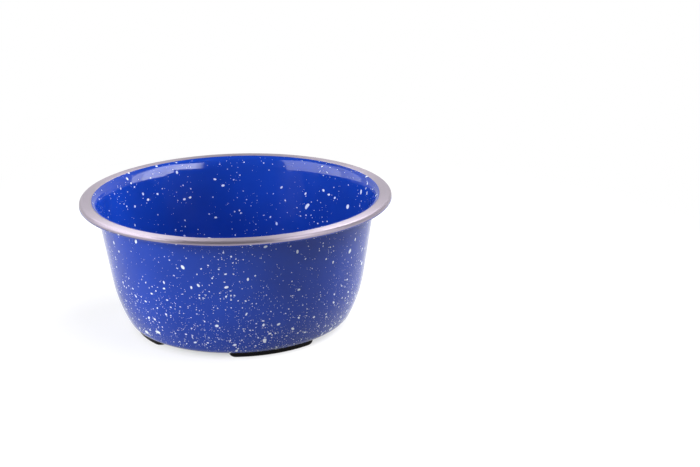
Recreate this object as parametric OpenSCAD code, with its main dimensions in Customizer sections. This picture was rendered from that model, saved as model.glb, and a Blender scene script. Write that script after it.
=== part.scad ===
// Enamelled pet bowl: a drawn steel bowl with a bare rolled rim, a coat of enamel
// inside and outside, and rubber feet bonded under the edge of its base.
// Millimetres, +Z up. The origin is on the bowl's axis, on the plane that the feet stand on.

/* [Bowl] */
// Diameter over the rolled edge of the rim
rim_d = 165; // [130:1:240]
// Height from the plane of the feet to the top of the rim
bowl_h = 70.8; // [50:0.1:110]
// Width of the rim's flat, from the bend to the outer edge
rim_w = 5.15; // [3.6:0.05:12]
// Slope of the upper wall off the vertical, in degrees
wall_slope = 9; // [2:0.1:14]
// Slope of the wall off the vertical where the belly meets the base corner, in degrees
belly_slope = 26.5; // [18:0.5:40]
// Radius of the belly, between the base corner and the straight upper wall
belly_r = 76.3; // [40:0.1:100]
// Outside radius of the base corner
corner_r = 6.9; // [5:0.1:12]
// Radius of the wall's flare, between the straight wall and the bend
flare_r = 16; // [8:0.5:30]
// Slope of the flare off the vertical where it meets the bend, in degrees
flare_slope = 25; // [18:1:40]
// Radius of the hollow bend under the rim, between flare and rim
neck_r = 3.1; // [1.5:0.1:7]

/* [Sheet and enamel] */
// Thickness of the steel sheet
sheet_t = 0.7; // [0.5:0.05:0.9]
// Thickness of each coat of enamel
enamel_t = 0.2; // [0.1:0.05:0.3]
// Outside radius of the roll at the edge of the rim
roll_r = 1.45; // [1.2:0.05:1.7]
// How far the edge of the sheet turns round the roll, in degrees
roll_turn = 280; // [240:1:280]
// How far below the widest line of the roll the outer enamel begins, in degrees round the roll
enamel_angle = 26; // [5:1:60]

/* [Feet] */
// Number of feet
foot_count = 4; // [3:1:5]
// Turn of the ring of feet about the bowl's axis, in degrees
feet_angle = 22.8; // [0:0.1:90]
// Height of the feet under the base
foot_h = 2.1; // [1.2:0.1:4]
// Width of a foot, measured towards the axis
foot_w = 6.5; // [5:0.1:10]
// Length of a foot along the middle of its arc, tip to tail
foot_l = 46; // [25:0.5:50]
// How far a foot reaches past the flat of the base, on to the corner
foot_reach = 2.1; // [0.5:0.05:3]
// Radius of a foot's round tip, a little over half its width
tip_r = 3.6; // [3.4:0.1:8]
// Bevel along the lower edges of a foot
foot_bevel = 0.5; // [0.2:0.05:0.8]
// Width of the lip round a foot's sole, bevel included
lip_w = 1.3; // [1:0.05:2]
// Depth of the sole's channel inside the lip
channel_h = 0.3; // [0.1:0.05:0.6]
// Corner cut at the square tail of a foot
tail_cut = 1.4; // [0.5:0.1:2]
// Slant at the square tail of a foot, from the sole up
tail_slant = 0.9; // [0.3:0.1:1.1]
// Diameter of the dimple in a foot's sole
dimple_d = 1.1; // [0.6:0.1:1.6]
// Depth of the dimple above the plane of the feet
dimple_h = 0.9; // [0.7:0.1:1]
// Distance of the dimple from the foot's round tip
dimple_in = 4.2; // [3:0.1:8]

/* [Adhesive] */
// Thickness of the film that bonds a foot to the base
film_t = 0.15; // [0.05:0.05:0.3]
// How far the film stays inside the outline of its foot
film_inset = 0.4; // [0.2:0.1:1]

/* [Hidden] */
$fn = 96;
foot_ids = [1:foot_count];

enamel_blue = [0.13, 0.24, 0.62];
bare_steel = [0.72, 0.69, 0.70];
rubber_grey = [0.20, 0.18, 0.18];
film_white = [0.85, 0.84, 0.80];

// Steps along the arcs of the profile, in degrees
corner_step_angle = 4.5;
belly_step_angle = 1.6;
flare_step_angle = 4;
neck_step_angle = 6;
roll_step_angle = 12;

// Depths below the outer surface of the wall, where one layer ends and the next begins
steel_out = enamel_t;
steel_in = steel_out + sheet_t;
bowl_in = steel_in + enamel_t;

// Profile of the outer surface, in [radius, height], from the rim down to the base
function toward(a) = [cos(a), sin(a)];
wall_out = toward(-wall_slope);
neck_c = [rim_d / 2 - rim_w, bowl_h - steel_in - neck_r];
flare_c = neck_c - (flare_r - neck_r) * toward(180 - flare_slope);
wall_top = flare_c - flare_r * wall_out;
corner_top_h = foot_h + corner_r * (1 - sin(belly_slope));
wall_foot_h = corner_top_h + belly_r * (sin(belly_slope) - sin(wall_slope));
wall_foot = [wall_top.x - (wall_top.y - wall_foot_h) * tan(wall_slope), wall_foot_h];
belly_c = wall_foot - belly_r * wall_out;
corner_c = belly_c + (belly_r - corner_r) * toward(-belly_slope);
base_r = corner_c.x;

// The roll at the rim, and the angles at which the outer enamel closes its slit
roll_c = [rim_d / 2 - roll_r, bowl_h - roll_r];
roll_end = 90 - roll_turn;
slit_out = -180 - asin((roll_r - steel_in) / (roll_r + enamel_t));
slit_in = -180 - asin((roll_r - sheet_t) / roll_r);

// Where the inner enamel stops on the bend, flush with the top of the rim
inner_line = 180 - asin((neck_r + steel_in) / (neck_r + bowl_in));

// Feet, as an arc under the edge of the base
foot_mid = base_r + foot_reach - foot_w / 2;
foot_top = foot_h + foot_reach;
function arc_angle(len) = len / foot_mid * 180 / PI;
tail_a = -arc_angle(foot_l / 2);
tip_a = arc_angle(foot_l / 2 - tip_r);
dimple_a = arc_angle(foot_l / 2 - dimple_in);
function foot_angle(i) = feet_angle + (i - 1) * 360 / foot_count;

// Points of an arc at its two ends and at every whole step between, so that layers share their points
function between(a0, a1, step) = [for (k = [floor(a0 / step) + 1:ceil(a1 / step) - 1]) k * step];
function reversed(list) = [for (i = [len(list) - 1:-1:0]) list[i]];
function arc_up(c, r, a0, a1, step) =
    [for (a = concat([a0], between(a0, a1, step), [a1])) c + r * toward(a)];
function arc_down(c, r, a1, a0, step) = reversed(arc_up(c, r, a0, a1, step));

// One surface of the bowl at a depth below its outside, from the axis to an angle on the bend
function bowl_line(depth, bend_end) = concat(
    [[0, foot_h + depth]],
    arc_up(corner_c, corner_r - depth, -90, -belly_slope, corner_step_angle),
    arc_up(belly_c, belly_r - depth, -belly_slope, -wall_slope, belly_step_angle),
    arc_down(flare_c, flare_r + depth, 180 - wall_slope, 180 - flare_slope, flare_step_angle),
    arc_down(neck_c, neck_r + depth, 180 - flare_slope, bend_end, neck_step_angle)
);

// All that lies above the underside of the base, moved outward by a distance, up to the corner's centre
module base_region(out) {
    corner = arc_up(corner_c, corner_r + out, -90, -belly_slope, corner_step_angle);
    polygon(concat(
        [[0, foot_h - out]],
        corner,
        [[corner[len(corner) - 1].x, corner_c.y], [0, corner_c.y]]
    ));
}

// Drawn steel bowl with its flat rim and the roll at its edge
module steel_bowl() {
    color(bare_steel)
        rotate_extrude()
            polygon(concat(
                bowl_line(steel_out, 90),
                arc_down(roll_c, roll_r - sheet_t, 90, roll_end, roll_step_angle),
                arc_up(roll_c, roll_r, roll_end, 90, roll_step_angle),
                reversed(bowl_line(steel_in, 90))
            ));
}

// Coat on the outside: base, wall, underside of the rim, and the lower side of the roll with its slit
module outer_enamel() {
    color(enamel_blue)
        rotate_extrude()
            polygon(concat(
                bowl_line(0, 90),
                arc_up(roll_c, roll_r + enamel_t, slit_out, -enamel_angle, roll_step_angle),
                arc_down(roll_c, roll_r, -enamel_angle, slit_in, roll_step_angle),
                reversed(bowl_line(enamel_t, 90))
            ));
}

// Coat on the inside, up to the line on the rim
module inner_enamel() {
    color(enamel_blue)
        rotate_extrude()
            polygon(concat(
                bowl_line(steel_in, inner_line),
                reversed(bowl_line(bowl_in, inner_line))
            ));
}

// A section swept along the arc of a foot, and past both of its ends
module foot_ring() {
    over_a = arc_angle(foot_w);
    rotate(tail_a - over_a)
        rotate_extrude(angle = tip_a - tail_a + 2 * over_a)
            children();
}

// Room that holds a foot's plan, a distance inside its tail and tip, with a bevel under the tip
module foot_room(inset, bevel) {
    far = 2 * (foot_mid + foot_w);
    reach = tip_r - inset;
    start_a = tail_a + arc_angle(inset);
    linear_extrude(corner_c.y)
        polygon([[0, 0], far * toward(start_a), far * toward(tip_a)]);
    rotate(tip_a)
        translate([foot_mid, 0, 0])
            rotate_extrude()
                polygon([
                    [0, 0],
                    [reach - bevel, 0],
                    [reach, bevel],
                    [reach, corner_c.y],
                    [0, corner_c.y]
                ]);
}

// Section of a foot: bevelled sole below, fitted to the film above
module foot_section() {
    half = foot_w / 2;
    difference() {
        translate([foot_mid, 0])
            polygon([
                [-half + foot_bevel, 0],
                [half - foot_bevel, 0],
                [half, foot_bevel],
                [half, foot_top],
                [-half, foot_top],
                [-half, foot_bevel]
            ]);
        base_region(film_t);
    }
}

// What is taken off the square tail: two upright corners and a slant up from the sole
module tail_cuts() {
    over = 1;
    half = foot_w / 2;
    rotate(tail_a)
        translate([foot_mid, 0, 0]) {
            for (side = [0, 1])
                mirror([side, 0, 0])
                    translate([0, 0, -over])
                        linear_extrude(corner_c.y + 2 * over)
                            polygon([
                                [half + over, -over],
                                [half + over, tail_cut + over],
                                [half - tail_cut - over, -over]
                            ]);
            rotate([90, 0, 90])
                linear_extrude(foot_w + 2 * over, center = true)
                    polygon([[-over, -over], [tail_slant + over, -over], [-over, tail_slant + over]]);
        }
}

// Channel in the sole, inside the lip
module foot_channel() {
    intersection() {
        foot_ring()
            translate([foot_mid - foot_w / 2 + lip_w, -channel_h])
                square([foot_w - 2 * lip_w, 2 * channel_h]);
        translate([0, 0, -channel_h])
            foot_room(lip_w + tail_slant, 0);
    }
}

// Rubber foot with a lip round its sole and a dimple near its round tip
module foot(i) {
    color(rubber_grey)
        rotate(foot_angle(i))
            difference() {
                intersection() {
                    foot_ring()
                        foot_section();
                    foot_room(0, foot_bevel);
                }
                tail_cuts();
                foot_channel();
                rotate(dimple_a)
                    translate([foot_mid, 0, -channel_h])
                        cylinder(d = dimple_d, h = dimple_h + channel_h);
            }
}

// Film that bonds a foot to the enamel
module foot_adhesive(i) {
    color(film_white)
        rotate(foot_angle(i))
            intersection() {
                foot_ring()
                    difference() {
                        intersection() {
                            translate([foot_mid - foot_w / 2 + film_inset, 0])
                                square([foot_w - 2 * film_inset, foot_top]);
                            base_region(film_t);
                        }
                        base_region(0);
                    }
                foot_room(film_inset + tail_cut, 0);
            }
}

steel_bowl();
outer_enamel();
inner_enamel();
for (i = foot_ids) {
    foot(i);
    foot_adhesive(i);
}
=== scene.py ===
import math
from collections import namedtuple

import bmesh
import bpy
from mathutils import Matrix, Vector


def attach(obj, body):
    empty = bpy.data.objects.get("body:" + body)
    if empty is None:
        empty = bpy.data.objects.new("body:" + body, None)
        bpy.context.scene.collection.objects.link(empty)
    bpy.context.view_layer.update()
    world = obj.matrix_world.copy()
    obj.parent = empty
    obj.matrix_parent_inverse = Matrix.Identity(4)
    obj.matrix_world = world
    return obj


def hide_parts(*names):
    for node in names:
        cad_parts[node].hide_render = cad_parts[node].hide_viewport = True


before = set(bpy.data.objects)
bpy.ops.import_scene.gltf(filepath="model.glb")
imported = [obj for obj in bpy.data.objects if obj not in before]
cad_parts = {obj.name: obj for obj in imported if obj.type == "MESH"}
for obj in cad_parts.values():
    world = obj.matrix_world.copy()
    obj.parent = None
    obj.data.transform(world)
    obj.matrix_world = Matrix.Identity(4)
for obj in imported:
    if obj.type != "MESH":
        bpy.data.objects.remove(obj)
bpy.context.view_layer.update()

MM = 0.001
TURN = 2 * math.pi

# Sizes of the bowl in millimetres and degrees, as in the CAD source
RIM_D = 165
BOWL_H = 70.8
RIM_W = 5.15
WALL_SLOPE = 9
BELLY_SLOPE = 26.5
BELLY_R = 76.3
CORNER_R = 6.9
FLARE_R = 16
FLARE_SLOPE = 25
NECK_R = 3.1
SHEET_T = 0.7
ENAMEL_T = 0.2
ROLL_R = 1.45
ROLL_TURN = 280
ENAMEL_ANGLE = 26
FEET_COUNT = 4
FEET_ANGLE = 22.8
FOOT_H = 2.1
FOOT_W = 6.5
FOOT_L = 46
FOOT_REACH = 2.1
LIP_W = 1.3
CHANNEL_H = 0.3
DIMPLE_D = 1.1
DIMPLE_H = 0.9
DIMPLE_IN = 4.2
FILM_T = 0.15

# Depths below the outside of the bowl
STEEL_OUT = ENAMEL_T
STEEL_IN = STEEL_OUT + SHEET_T
BOWL_IN = STEEL_IN + ENAMEL_T

# Steps of the bowl's mesh, round its axis and along its profile
LATHE_STEPS = 288
BASE_STEPS = 12
CORNER_STEPS = 14
BELLY_STEPS = 18
WALL_STEPS = 12
FLARE_STEPS = 8
BEND_STEPS = 18
ROLL_STEPS = 48
ROLL_INSIDE_STEPS = 30
ROLL_COAT_STEPS = 30
BOWL_SHARP_ANGLE = 40


def toward(angle):
    a = math.radians(angle)
    return Vector((math.cos(a), math.sin(a)))


# The drawn profile: tangent arcs in (radius, height), millimetres
wall_out = toward(-WALL_SLOPE)
neck_c = Vector((RIM_D / 2 - RIM_W, BOWL_H - STEEL_IN - NECK_R))
flare_c = neck_c - (FLARE_R - NECK_R) * toward(180 - FLARE_SLOPE)
wall_top = flare_c - FLARE_R * wall_out
corner_top_h = FOOT_H + CORNER_R * (1 - math.sin(math.radians(BELLY_SLOPE)))
wall_foot_h = corner_top_h + BELLY_R * (
    math.sin(math.radians(BELLY_SLOPE)) - math.sin(math.radians(WALL_SLOPE))
)
wall_foot = Vector((
    wall_top.x - (wall_top.y - wall_foot_h) * math.tan(math.radians(WALL_SLOPE)),
    wall_foot_h,
))
belly_c = wall_foot - BELLY_R * wall_out
corner_c = belly_c + (BELLY_R - CORNER_R) * toward(-BELLY_SLOPE)
base_r = corner_c.x
roll_c = Vector((RIM_D / 2 - ROLL_R, BOWL_H - ROLL_R))


def arc(centre, radius, start, end, steps):
    """Points of an arc in the profile, from one angle to another."""
    return [
        centre + radius * toward(start + (end - start) * i / steps)
        for i in range(steps + 1)
    ]


def line(a, b, steps):
    """Points between two points of the profile, without its ends."""
    return [a.lerp(b, i / steps) for i in range(1, steps)]


def bowl_line(depth, bend_end):
    """One surface of the bowl at a depth below its outside, from the axis to the bend."""
    corner = arc(corner_c, CORNER_R - depth, -90, -BELLY_SLOPE, CORNER_STEPS)
    belly = arc(belly_c, BELLY_R - depth, -BELLY_SLOPE, -WALL_SLOPE, BELLY_STEPS)
    flare = arc(flare_c, FLARE_R + depth, 180 - WALL_SLOPE, 180 - FLARE_SLOPE, FLARE_STEPS)
    bend = arc(neck_c, NECK_R + depth, 180 - FLARE_SLOPE, bend_end, BEND_STEPS)
    axis = Vector((0, FOOT_H + depth))
    return (
        [axis]
        + line(axis, corner[0], BASE_STEPS)
        + corner
        + belly[1:]
        + line(belly[-1], flare[0], WALL_STEPS)
        + flare
        + bend[1:]
    )


def new_object(name, bm, sharp_angle):
    """Smooth object from a mesh that is then let go, with edges over an angle kept sharp."""
    mesh = bpy.data.meshes.new(name)
    bmesh.ops.recalc_face_normals(bm, faces=bm.faces)
    bm.to_mesh(mesh)
    bm.free()
    mesh.polygons.foreach_set("use_smooth", [True] * len(mesh.polygons))
    mesh.set_sharp_from_angle(angle=math.radians(sharp_angle))
    obj = bpy.data.objects.new(name, mesh)
    bpy.context.scene.collection.objects.link(obj)
    return obj


def lathe(name, profile):
    """Closed solid of revolution from a profile that starts and ends on the axis."""
    bm = bmesh.new()
    rings = []
    for p in profile:
        if p.x < 1e-6:
            rings.append([bm.verts.new((0, 0, p.y * MM))])
            continue
        rings.append([
            bm.verts.new((
                p.x * MM * math.cos(TURN * k / LATHE_STEPS),
                p.x * MM * math.sin(TURN * k / LATHE_STEPS),
                p.y * MM,
            ))
            for k in range(LATHE_STEPS)
        ])
    for a, b in zip(rings, rings[1:]):
        for k in range(LATHE_STEPS):
            n = (k + 1) % LATHE_STEPS
            if len(a) == 1:
                bm.faces.new((a[0], b[k], b[n]))
            elif len(b) == 1:
                bm.faces.new((a[k], a[n], b[0]))
            else:
                bm.faces.new((a[k], a[n], b[n], b[k]))
    return new_object(name, bm, BOWL_SHARP_ANGLE)


def make_steel():
    """The drawn sheet, up over the flat rim and round the roll."""
    roll_end = 90 - ROLL_TURN
    return lathe(
        "steel_sheet",
        bowl_line(STEEL_OUT, 90)
        + arc(roll_c, ROLL_R - SHEET_T, 90, roll_end, ROLL_INSIDE_STEPS)
        + arc(roll_c, ROLL_R, roll_end, 90, ROLL_STEPS)
        + bowl_line(STEEL_IN, 90)[::-1],
    )


def make_outer_coat():
    """Glaze outside, under the rim and over the lower side of the roll."""
    slit_out = -180 - math.degrees(math.asin((ROLL_R - STEEL_IN) / (ROLL_R + ENAMEL_T)))
    slit_in = -180 - math.degrees(math.asin((ROLL_R - SHEET_T) / ROLL_R))
    return lathe(
        "outer_coat",
        bowl_line(0, 90)
        + arc(roll_c, ROLL_R + ENAMEL_T, slit_out, -ENAMEL_ANGLE, ROLL_COAT_STEPS)
        + arc(roll_c, ROLL_R, -ENAMEL_ANGLE, slit_in, ROLL_COAT_STEPS)
        + bowl_line(ENAMEL_T, 90)[::-1],
    )


def make_inner_coat():
    """Glaze inside, up to where the bend reaches the level of the bare rim."""
    edge = 180 - math.degrees(math.asin((NECK_R + STEEL_IN) / (NECK_R + BOWL_IN)))
    return lathe(
        "inner_coat",
        bowl_line(STEEL_IN, edge) + bowl_line(BOWL_IN, edge)[::-1],
    )


# Feet: moulded rubber arcs, swept in at both ends towards the sole
foot_mid = base_r + FOOT_REACH - FOOT_W / 2
FOOT_HALF = FOOT_W / 2
EDGE_R = 0.6
TAIL_R = 2.4
TAIL_R_LEAST = 0.2
TAIL_TOP = 1.7
TAIL_SWEEP = 2.0
TIP_SWEEP_SHARE = 1.2
LIP_R = 0.14
CHANNEL_BEVEL_IN = 0.09
CHANNEL_BEVEL_H = 0.06
CHANNEL_DRAFT = 0.03
DIMPLE_BEVEL_OUT = 0.05
DIMPLE_BEVEL_H = 0.06
DIMPLE_ROUND = 0.12

# Loops of a foot's mesh: insets on its top face, and heights on its side
TOP_INSETS = (FOOT_HALF, 2.2, 1.1, 0.25, 0.06)
SIDE_HEIGHTS = (1.6, 1.35, 1.1, 0.85)
SIDE_STEPS = 44
TIP_STEPS = 20
TAIL_STEPS = 7
EDGE_STEPS = 6
LIP_STEPS = 3
DIMPLE_STEPS = 20
FOOT_SHARP_ANGLE = 50


def foot_outline(inset, tail_inset):
    """Plan of a foot as (along its arc, across it), some way inside its outline."""
    half = FOOT_HALF - inset
    tail = -FOOT_L / 2 + tail_inset
    tip_c = FOOT_L / 2 - FOOT_HALF - TIP_SWEEP_SHARE * (tail_inset - inset)
    corner = min(max(TAIL_R - inset, TAIL_R_LEAST), half)
    start = tail + corner
    pts = [(start + (tip_c - start) * i / SIDE_STEPS, half) for i in range(SIDE_STEPS)]
    for i in range(TIP_STEPS + 1):
        a = math.pi / 2 - math.pi * i / TIP_STEPS
        pts.append((tip_c + half * math.cos(a), half * math.sin(a)))
    pts += [
        (tip_c + (start - tip_c) * i / SIDE_STEPS, -half) for i in range(1, SIDE_STEPS)
    ]
    for side in (-1, 1):
        for i in range(TAIL_STEPS + 1):
            t = i / TAIL_STEPS * math.pi / 2
            if side > 0:
                t = math.pi / 2 - t
            pts.append((
                start - corner * math.sin(t),
                side * (half - corner + corner * math.cos(t)),
            ))
    return pts[:-1]


def seat_height(r):
    """Height of a foot's top face: the film's underside, which follows the base corner."""
    out = max(r - base_r, 0)
    return corner_c.y - math.sqrt((CORNER_R + FILM_T) ** 2 - out * out)


def tail_curve(height):
    """How far the tail is swept in at a height above the sole."""
    up = 1 - min(height / TAIL_TOP, 1)
    return TAIL_SWEEP * (1 - math.sqrt(1 - up * up))


def skin(bm, loops):
    """Faces between closed loops with the same number of points."""
    for a, b in zip(loops, loops[1:]):
        for k in range(len(a)):
            n = (k + 1) % len(a)
            bm.faces.new((a[k], a[n], b[n], b[k]))


def loop_edges(bm, loop):
    return [bm.edges.get((loop[k], loop[(k + 1) % len(loop)])) for k in range(len(loop))]


def make_foot(index):
    bm = bmesh.new()
    turn = math.radians(FEET_ANGLE + (index - 1) * 360 / FEET_COUNT)

    def vert(along, across, height):
        r = foot_mid + across
        a = turn + along / foot_mid
        z = seat_height(r) if height is None else height
        return bm.verts.new((r * MM * math.cos(a), r * MM * math.sin(a), z * MM))

    def ring(inset, tail_inset, height):
        return [vert(s, w, height) for s, w in foot_outline(inset, tail_inset)]

    # From the middle of the top face, out over the side and the rounded edge, to the channel
    rings = [ring(inset, inset, None) for inset in TOP_INSETS]
    rings += [ring(0.0, tail_curve(height), height) for height in SIDE_HEIGHTS]
    for i in range(EDGE_STEPS + 1):
        t = i / EDGE_STEPS * math.pi / 2
        height = EDGE_R * (1 - math.sin(t))
        rings.append(ring(EDGE_R * (1 - math.cos(t)), tail_curve(height), height))
    tail_in = TAIL_SWEEP - EDGE_R
    for i in range(LIP_STEPS + 1):
        t = i / LIP_STEPS * math.pi / 2
        inset = LIP_W - LIP_R + LIP_R * math.sin(t)
        rings.append(ring(inset, inset + tail_in, LIP_R * (1 - math.cos(t))))
    inset = LIP_W + CHANNEL_DRAFT
    rings.append(ring(inset, inset + tail_in, CHANNEL_H - CHANNEL_BEVEL_H))
    inset += CHANNEL_BEVEL_IN
    rings.append(ring(inset, inset + tail_in, CHANNEL_H))
    skin(bm, rings)

    # The dimple, let into the floor of the channel near the tip
    spot = FOOT_L / 2 - DIMPLE_IN
    radius = DIMPLE_D / 2

    def dimple_ring(r, height):
        return [
            vert(
                spot + r * math.cos(TURN * k / DIMPLE_STEPS),
                r * math.sin(TURN * k / DIMPLE_STEPS),
                height,
            )
            for k in range(DIMPLE_STEPS)
        ]

    wall = [
        dimple_ring(radius + DIMPLE_BEVEL_OUT, CHANNEL_H),
        dimple_ring(radius, CHANNEL_H + DIMPLE_BEVEL_H),
        dimple_ring(radius, DIMPLE_H - DIMPLE_ROUND),
        dimple_ring(radius - DIMPLE_ROUND, DIMPLE_H),
    ]
    skin(bm, wall)
    bm.faces.new(wall[-1])

    bmesh.ops.triangle_fill(
        bm, use_beauty=True, edges=loop_edges(bm, rings[-1]) + loop_edges(bm, wall[0])
    )
    bmesh.ops.remove_doubles(bm, verts=bm.verts, dist=1e-7)
    bmesh.ops.dissolve_degenerate(bm, edges=bm.edges, dist=1e-8)
    return new_object(f"rubber_foot_{index}", bm, FOOT_SHARP_ANGLE)


class Nodes:
    """Short ways to add nodes to one material."""

    def __init__(self, name):
        self.material = bpy.data.materials.new(name)
        self.material.use_nodes = True
        self.tree = self.material.node_tree
        self.shader = self.tree.nodes["Principled BSDF"]
        coords = self.tree.nodes.new("ShaderNodeTexCoord")
        self.place = coords.outputs["Object"]

    def put(self, socket, value):
        if isinstance(value, bpy.types.NodeSocket):
            self.tree.links.new(value, socket)
        else:
            socket.default_value = value

    def math(self, operation, a, b=0.0):
        n = self.tree.nodes.new("ShaderNodeMath")
        n.operation = operation
        self.put(n.inputs[0], a)
        self.put(n.inputs[1], b)
        return n.outputs[0]

    def vector(self, operation, a, b=(0.0, 0.0, 0.0)):
        n = self.tree.nodes.new("ShaderNodeVectorMath")
        n.operation = operation
        self.put(n.inputs[0], a)
        self.put(n.inputs[1], b)
        return n.outputs["Value" if operation == "LENGTH" else "Vector"]

    def ramp(self, value, low, high, to_low=0.0, to_high=1.0, smooth=False):
        n = self.tree.nodes.new("ShaderNodeMapRange")
        n.interpolation_type = "SMOOTHSTEP" if smooth else "LINEAR"
        for socket, v in zip(n.inputs, (value, low, high, to_low, to_high)):
            self.put(socket, v)
        return n.outputs["Result"]

    def noise(self, vector, size, detail=2.0, roughness=0.5):
        n = self.tree.nodes.new("ShaderNodeTexNoise")
        self.put(n.inputs["Vector"], vector)
        n.inputs["Scale"].default_value = 1 / size
        n.inputs["Detail"].default_value = detail
        n.inputs["Roughness"].default_value = roughness
        return n.outputs["Fac"]

    def split(self, vector):
        n = self.tree.nodes.new("ShaderNodeSeparateXYZ")
        self.put(n.inputs[0], vector)
        return n.outputs

    def mix(self, factor, a, b):
        n = self.tree.nodes.new("ShaderNodeMix")
        n.data_type = "RGBA"
        self.put(n.inputs["Factor"], factor)
        self.put(n.inputs["A"], a)
        self.put(n.inputs["B"], b)
        return n.outputs["Result"]

    def bump(self, height, distance, under=None):
        n = self.tree.nodes.new("ShaderNodeBump")
        n.inputs["Distance"].default_value = distance
        n.inputs["Strength"].default_value = 1.0
        self.put(n.inputs["Height"], height)
        if under is not None:
            self.put(n.inputs["Normal"], under)
        return n.outputs["Normal"]


WHITE = (1.0, 1.0, 1.0, 1.0)
GLAZE_DEEP = (0.0058, 0.039, 0.340, 1.0)
GLAZE_LIGHT = (0.0076, 0.050, 0.415, 1.0)
FLECK_COLOR = (0.83, 0.90, 1.0, 1.0)
STEEL_DARK = (0.34, 0.291, 0.357, 1.0)
STEEL_PALE = (0.43, 0.375, 0.452, 1.0)
RUBBER_BLACK = (0.0035, 0.0026, 0.0028, 1.0)
RUBBER_DUSTY = (0.007, 0.0055, 0.006, 1.0)
FILM_DARK = (0.60, 0.58, 0.52, 1.0)
FILM_PALE = (0.72, 0.70, 0.64, 1.0)

# Where most of a noise's values lie
NOISE_LOW, NOISE_HIGH = 0.3, 0.7

# One scatter of flecks: which way the seed shifts it, the width of its cells, the share of cells
# with a fleck where the density is 1, the largest radius, how long a fleck is for its width,
# how even the sizes are, and whether the glaze's share of fine flecks applies. Metres.
Flecks = namedtuple("Flecks", "shift cell keep radius stretch power is_fine")
FLECK_LAYERS = (
    Flecks((1, 0, 0), 0.00800, 0.72, 0.00130, 1.8, 0.6, False),
    Flecks((0, 1, 0), 0.00350, 0.95, 0.00072, 1.7, 0.6, False),
    Flecks((0, 0, 1), 0.00175, 0.95, 0.00040, 1.5, 0.7, True),
    Flecks((1, 1, 0), 0.00115, 0.65, 0.00026, 1.3, 0.7, True),
    Flecks((0, 1, 1), 0.00075, 0.65, 0.00018, 1.2, 0.7, True),
)
CELL_RANDOMNESS = 0.9
FLECK_EDGE = 0.00006
FLECK_PALEST, FLECK_WHITEST = 0.9, 1.0

# Shares of the bowl's height between which the density of flecks changes, and its clumps
DENSITY_LOW, DENSITY_HIGH = 0.15, 0.68
CLUMP_SIZE = 0.022
CLUMP_LEAST, CLUMP_MOST = 0.45, 1.3


def specks(n, density, seed, layer, fine_share):
    """White flecks in the glaze, one in some of the cells of a scatter: 1 inside a fleck."""
    shift = tuple(seed * s for s in layer.shift)
    keep = layer.keep * (fine_share if layer.is_fine else 1.0)
    place = n.vector("ADD", n.place, shift)
    cells = n.tree.nodes.new("ShaderNodeTexVoronoi")
    n.put(cells.inputs["Vector"], place)
    cells.inputs["Scale"].default_value = 1 / layer.cell
    cells.inputs["Randomness"].default_value = CELL_RANDOMNESS
    off = n.vector("SUBTRACT", place, cells.outputs["Position"])
    chance = n.split(cells.outputs["Color"])
    spin = n.tree.nodes.new("ShaderNodeVectorRotate")
    spin.rotation_type = "EULER_XYZ"
    n.put(spin.inputs["Vector"], off)
    n.put(spin.inputs["Rotation"], n.vector("MULTIPLY", cells.outputs["Color"], (TURN,) * 3))
    apart = n.vector(
        "LENGTH", n.vector("MULTIPLY", spin.outputs[0], (1.0, 1.0, 1 / layer.stretch))
    )
    middle = n.vector("SUBTRACT", cells.outputs["Position"], shift)
    share = n.math("MULTIPLY", density(middle), keep)
    left = n.math("SUBTRACT", 1.0, share)
    size = n.ramp(chance[0], left, 1.0)
    size = n.math("MULTIPLY", n.math("POWER", size, layer.power), layer.radius)
    gap = n.math("SUBTRACT", apart, size)
    mask = n.ramp(gap, FLECK_EDGE * 0.2, -FLECK_EDGE, smooth=True)
    pale = n.ramp(chance[1], 0.0, 1.0, FLECK_PALEST, FLECK_WHITEST)
    return n.math("MULTIPLY", mask, pale)


def enamel(name, rim_density, base_density, fine_share, seed, gloss):
    """Blue glaze with white flecks, denser towards the base."""
    n = Nodes(name)
    high = BOWL_H * MM

    def density(middle):
        height = n.split(middle)[2]
        by_height = n.ramp(
            height, high * DENSITY_LOW, high * DENSITY_HIGH, base_density, rim_density
        )
        clumps = n.ramp(n.noise(middle, CLUMP_SIZE), 0.35, 0.65, CLUMP_LEAST, CLUMP_MOST)
        return n.math("MULTIPLY", by_height, clumps)

    layers = [specks(n, density, seed, layer, fine_share) for layer in FLECK_LAYERS]
    white = layers[0]
    for layer in layers[1:]:
        white = n.math("MAXIMUM", white, layer)

    cloud = n.noise(n.place, 0.03, 3.0)
    fine = n.noise(n.place, 0.004)
    blue = n.mix(n.ramp(cloud, NOISE_LOW, NOISE_HIGH), GLAZE_DEEP, GLAZE_LIGHT)
    n.put(n.shader.inputs["Base Color"], n.mix(white, blue, FLECK_COLOR))
    n.put(n.shader.inputs["Roughness"], n.ramp(fine, NOISE_LOW, NOISE_HIGH, 0.06, 0.10))
    n.shader.inputs["IOR"].default_value = 1.52
    n.shader.inputs["Specular IOR Level"].default_value = gloss
    ripple = n.bump(n.noise(n.place, 0.012, 1.0), 0.00012)
    n.put(n.shader.inputs["Normal"], n.bump(white, 0.00003, ripple))
    return n.material


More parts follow.
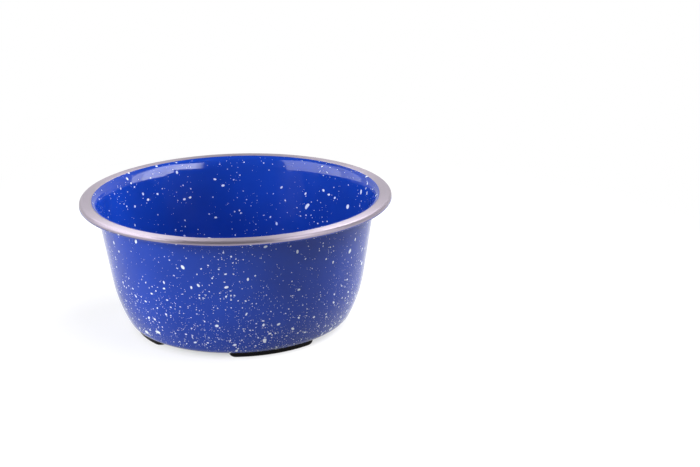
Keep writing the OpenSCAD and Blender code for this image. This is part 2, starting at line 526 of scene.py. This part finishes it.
def steel():
    """Bare satin sheet with fine lines round the rim."""
    n = Nodes("satin_steel")
    squeeze = 40.0
    x, y, z = n.split(n.place)[:3]
    r = n.math("SQRT", n.math("ADD", n.math("MULTIPLY", x, x), n.math("MULTIPLY", y, y)))
    join = n.tree.nodes.new("ShaderNodeCombineXYZ")
    n.put(join.inputs[0], n.math("MULTIPLY", r, squeeze))
    n.put(join.inputs[1], n.math("MULTIPLY", z, squeeze))
    n.put(join.inputs[2], n.math("ARCTAN2", y, x))
    lines = n.noise(join.outputs[0], 0.012, 3.0, 0.6)
    patches = n.noise(n.place, 0.02, 3.0)
    n.put(n.shader.inputs["Base Color"], n.mix(lines, STEEL_DARK, STEEL_PALE))
    n.shader.inputs["Metallic"].default_value = 1.0
    n.put(n.shader.inputs["Roughness"], n.ramp(patches, NOISE_LOW, NOISE_HIGH, 0.33, 0.41))
    around = n.tree.nodes.new("ShaderNodeTangent")
    around.direction_type = "RADIAL"
    around.axis = "Z"
    n.put(n.shader.inputs["Tangent"], around.outputs[0])
    n.shader.inputs["Anisotropic"].default_value = 0.75
    n.shader.inputs["Anisotropic Rotation"].default_value = 0.25
    n.put(n.shader.inputs["Normal"], n.bump(lines, 0.00001))
    return n.material


def rubber():
    """Moulded black rubber, satin, with a fine grain and dusty patches."""
    n = Nodes("moulded_rubber")
    dust = n.noise(n.place, 0.009, 4.0, 0.6)
    grain = n.noise(n.place, 0.0005)
    n.put(
        n.shader.inputs["Base Color"],
        n.mix(n.ramp(dust, 0.35, 0.75), RUBBER_BLACK, RUBBER_DUSTY),
    )
    n.put(n.shader.inputs["Roughness"], n.ramp(grain, NOISE_LOW, NOISE_HIGH, 0.38, 0.52))
    n.shader.inputs["Specular IOR Level"].default_value = 0.10
    n.put(n.shader.inputs["Normal"], n.bump(grain, 0.00003))
    return n.material


def film():
    """Pale bonding film, slightly uneven."""
    n = Nodes("bonding_film")
    cloud = n.noise(n.place, 0.003)
    n.put(n.shader.inputs["Base Color"], n.mix(cloud, FILM_DARK, FILM_PALE))
    n.shader.inputs["Roughness"].default_value = 0.6
    return n.material


def dress(obj, material, slot, *nodes):
    """Give a piece its material and its place in the frame."""
    obj.data.materials.clear()
    obj.data.materials.append(material)
    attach(obj, "root")
    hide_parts(*nodes)
    return obj


outer_glaze = enamel(
    "outer_glaze", rim_density=0.30, base_density=1.05, fine_share=1.0, seed=3.1, gloss=0.21
)
inner_glaze = enamel(
    "inner_glaze", rim_density=0.32, base_density=0.37, fine_share=0.45, seed=7.7, gloss=0.37
)
metal = [dress(make_steel(), steel(), "bare_steel", "steel_bowl")]
glaze = [
    dress(make_outer_coat(), outer_glaze, "blue_enamel", "outer_enamel"),
    dress(make_inner_coat(), inner_glaze, "blue_enamel", "inner_enamel"),
]
rubber_material = rubber()
film_material = film()
for i in range(1, FEET_COUNT + 1):
    dress(make_foot(i), rubber_material, "foot_rubber", f"foot_{i}")
    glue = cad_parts[f"foot_{i}_adhesive"]
    glue.data.materials.clear()
    glue.data.materials.append(film_material)


# Floor: pale, white further out, and keeps the bowl's shadow; under the bowl its glow is left
# out, a painted shade under the base. Lengths in metres.
FLOOR_SIZE = 6.0
FLOOR_COLOR = (0.30, 0.30, 0.30, 1.0)
FLOOR_LIFT = 0.79
# Radii over which the floor's glow fades in; inside them the floor is painted darker, as shade
# under the bowl
LIFT_FROM, LIFT_TO = 0.035, 0.062
WHITE_FROM, WHITE_TO = 0.14, 0.34


def seen_ray(tree):
    """1 for a ray from the camera, off a mirror or through glass."""
    path = tree.nodes.new("ShaderNodeLightPath")
    total = path.outputs["Is Camera Ray"]
    for name in ("Is Glossy Ray", "Is Transmission Ray"):
        m = tree.nodes.new("ShaderNodeMath")
        m.operation = "MAXIMUM"
        tree.links.new(total, m.inputs[0])
        tree.links.new(path.outputs[name], m.inputs[1])
        total = m.outputs[0]
    return total


def make_floor():
    bm = bmesh.new()
    bmesh.ops.create_grid(bm, x_segments=1, y_segments=1, size=FLOOR_SIZE)
    mesh = bpy.data.meshes.new("floor")
    bm.to_mesh(mesh)
    bm.free()
    floor = bpy.data.objects.new("floor", mesh)
    bpy.context.scene.collection.objects.link(floor)
    n = Nodes("pale_floor")
    n.shader.inputs["Base Color"].default_value = FLOOR_COLOR
    n.shader.inputs["Roughness"].default_value = 0.8
    n.shader.inputs["Specular IOR Level"].default_value = 0.0
    seen = seen_ray(n.tree)
    near = n.tree.nodes.new("ShaderNodeEmission")
    reach = n.vector("LENGTH", n.place)
    # Glow is zero under the bowl: painted shade under the base, seen by the camera and in
    # reflections
    under = n.ramp(reach, LIFT_FROM, LIFT_TO, 0.0, FLOOR_LIFT, smooth=True)
    n.put(near.inputs["Strength"], n.math("MULTIPLY", seen, under))
    lift = n.tree.nodes.new("ShaderNodeAddShader")
    n.put(lift.inputs[0], n.shader.outputs[0])
    n.put(lift.inputs[1], near.outputs[0])
    far = n.tree.nodes.new("ShaderNodeEmission")
    away = n.ramp(reach, WHITE_FROM, WHITE_TO, smooth=True)
    join = n.tree.nodes.new("ShaderNodeMixShader")
    n.put(join.inputs[0], n.math("MULTIPLY", away, seen))
    n.put(join.inputs[1], lift.outputs[0])
    n.put(join.inputs[2], far.outputs[0])
    out = n.tree.nodes["Material Output"]
    n.tree.links.new(join.outputs[0], out.inputs["Surface"])
    mesh.materials.append(n.material)


def make_world(ambient, pale, dim):
    """Even light; white to the camera, and mirrored as a pale room, dim overhead and in front."""
    world = bpy.data.worlds.new("studio")
    bpy.context.scene.world = world
    world.use_nodes = True
    tree = world.node_tree
    nodes = tree.nodes

    def ramp(value, low, high, to_low, to_high):
        n = nodes.new("ShaderNodeMapRange")
        n.interpolation_type = "SMOOTHSTEP"
        tree.links.new(value, n.inputs["Value"])
        n.inputs["From Min"].default_value = low
        n.inputs["From Max"].default_value = high
        n.inputs["To Min"].default_value = to_low
        n.inputs["To Max"].default_value = to_high
        return n.outputs["Result"]

    def math_node(operation, a, b):
        n = nodes.new("ShaderNodeMath")
        n.operation = operation
        tree.links.new(a, n.inputs[0])
        tree.links.new(b, n.inputs[1])
        return n.outputs[0]

    soft = nodes["Background"]
    soft.inputs["Color"].default_value = WHITE
    soft.inputs["Strength"].default_value = ambient
    way = nodes.new("ShaderNodeSeparateXYZ")
    coords = nodes.new("ShaderNodeTexCoord")
    tree.links.new(coords.outputs["Generated"], way.inputs[0])
    behind = ramp(way.outputs["Y"], -0.4, 0.1, dim, pale)
    below = ramp(way.outputs["Z"], 0.5, 0.9, pale, dim)
    room = math_node("MINIMUM", behind, below)
    path = nodes.new("ShaderNodeLightPath")
    level = math_node("MAXIMUM", room, path.outputs["Is Camera Ray"])
    white = nodes.new("ShaderNodeBackground")
    white.inputs["Color"].default_value = WHITE
    tree.links.new(level, white.inputs["Strength"])
    join = nodes.new("ShaderNodeMixShader")
    tree.links.new(seen_ray(tree), join.inputs[0])
    tree.links.new(soft.outputs[0], join.inputs[1])
    tree.links.new(white.outputs[0], join.inputs[2])
    tree.links.new(join.outputs[0], nodes["World Output"].inputs["Surface"])


def look_at(obj, target):
    way = Vector(target) - obj.location
    obj.rotation_euler = way.to_track_quat("-Z", "Y").to_euler()


def softbox(name, place, aim, width, height, watts):
    """A soft lamp that lights the bowl and isn't mirrored in it."""
    lamp = bpy.data.lights.new(name, "AREA")
    lamp.shape = "RECTANGLE"
    lamp.size = width
    lamp.size_y = height
    lamp.energy = watts
    obj = bpy.data.objects.new(name, lamp)
    obj.location = place
    obj.visible_glossy = False
    bpy.context.scene.collection.objects.link(obj)
    look_at(obj, aim)
    return obj


def mirrored(lamp, pieces):
    """Turn a lamp into a panel that only shows as a reflection, in the given pieces."""
    lamp.visible_glossy = True
    lamp.visible_diffuse = False
    group = bpy.data.collections.new(lamp.name)
    for piece in pieces:
        group.objects.link(piece)
    lamp.light_linking.receiver_collection = group


def bank(name, x, y, z, level, pieces):
    """An upright panel beside the bowl, from y to y and z to z, level in watts a square metre."""
    middle = (x, sum(y) / 2, sum(z) / 2)
    aim = (0.0, *middle[1:])
    width, height = y[1] - y[0], z[1] - z[0]
    mirrored(softbox(name, middle, aim, width, height, level * width * height), pieces)


# Lamps: name, place, width, height and watts
BOWL_MIDDLE = (0.0, 0.0, 0.035)
LAMPS = (
    ("key_left", (-0.98, -0.66, 0.37), 1.0, 0.8, 18.9),
    ("top_right", (0.35, -0.35, 1.15), 0.7, 0.7, 9.0),
    ("side_right", (1.0, 0.55, 0.55), 0.8, 0.8, 22.0),
)

# Upright panels on the left and right: name, x, from y to y, from z to z, watts a square metre
LEFT, RIGHT = -0.9, 0.9
GLAZE_BANKS = (
    ("left_front", LEFT, (-1.0, 0.16), (0.075, 1.53), 13.3),
    ("left_back", LEFT, (0.16, 0.75), (0.075, 1.2), 5.4),
    ("right_tip", RIGHT, (-1.34, -1.22), (0.42, 1.10), 11.0),
    ("right_end", RIGHT, (-1.22, -1.05), (0.42, 1.12), 23.0),
    ("right_front", RIGHT, (-1.05, -0.46), (0.42, 1.15), 35.0),
    ("right_slope", RIGHT, (-0.46, -0.34), (0.22, 1.30), 30.0),
    ("right_middle", RIGHT, (-0.34, 0.08), (0.02, 1.47), 26.0),
    ("right_back", RIGHT, (0.08, 0.30), (0.02, 1.47), 15.0),
)
RIM_BANKS = (
    ("rim_left", LEFT, (-0.75, 0.55), (0.72, 1.6), 10.0),
    ("rim_left_low", LEFT, (-0.80, 0.45), (0.20, 0.72), 5.5),
    ("rim_right", RIGHT, (-1.1, -0.2), (0.85, 2.0), 11.0),
    ("rim_right_low", RIGHT, (-1.1, -0.1), (0.20, 0.85), 5.5),
)

# Panels turned to the bowl and mirrored in its rim: name, place, width, height and watts
RIM_PANELS = (
    ("rim_back_left", (-0.365, 0.752, 0.74), 0.40, 0.40, 2.2),
    ("rim_back_right", (0.24, 0.78, 0.76), 0.36, 0.36, 2.8),
    ("rim_front", (0.0, -1.1, 0.75), 1.5, 1.3, 0.8),
    ("rim_top", (0.0, -0.1, 1.3), 1.2, 1.2, 2.4),
)

make_floor()
make_world(ambient=0.15, pale=0.83, dim=0.06)
for name, place, width, height, watts in LAMPS:
    softbox(name, place, BOWL_MIDDLE, width, height, watts)
for row in GLAZE_BANKS:
    bank(*row, glaze)
for row in RIM_BANKS:
    bank(*row, metal)
for name, place, width, height, watts in RIM_PANELS:
    mirrored(softbox(name, place, BOWL_MIDDLE, width, height, watts), metal)


# Camera at the photograph's viewing angle
LENS = 73.20
CAMERA_PLACE = (0.06291, -0.72570, 0.28514)
CAMERA_RIGHT = Vector((0.999947, 0.00039, -0.010266))
CAMERA_UP = Vector((0.009634, 0.311378, 0.950236))


def make_camera():
    cam = bpy.data.cameras.new("camera")
    cam.sensor_fit = "HORIZONTAL"
    cam.sensor_width = 36.0
    cam.lens = LENS
    cam.clip_start = 0.01
    cam.clip_end = 50.0
    obj = bpy.data.objects.new("camera", cam)
    right = CAMERA_RIGHT
    back = right.cross(CAMERA_UP)
    up = back.cross(right)
    turn = Matrix((right.normalized(), up.normalized(), back.normalized())).transposed()
    obj.matrix_world = Matrix.Translation(CAMERA_PLACE) @ turn.to_4x4()
    bpy.context.scene.collection.objects.link(obj)
    bpy.context.scene.camera = obj


make_camera()
bpy.context.scene.view_settings.view_transform = "Standard"
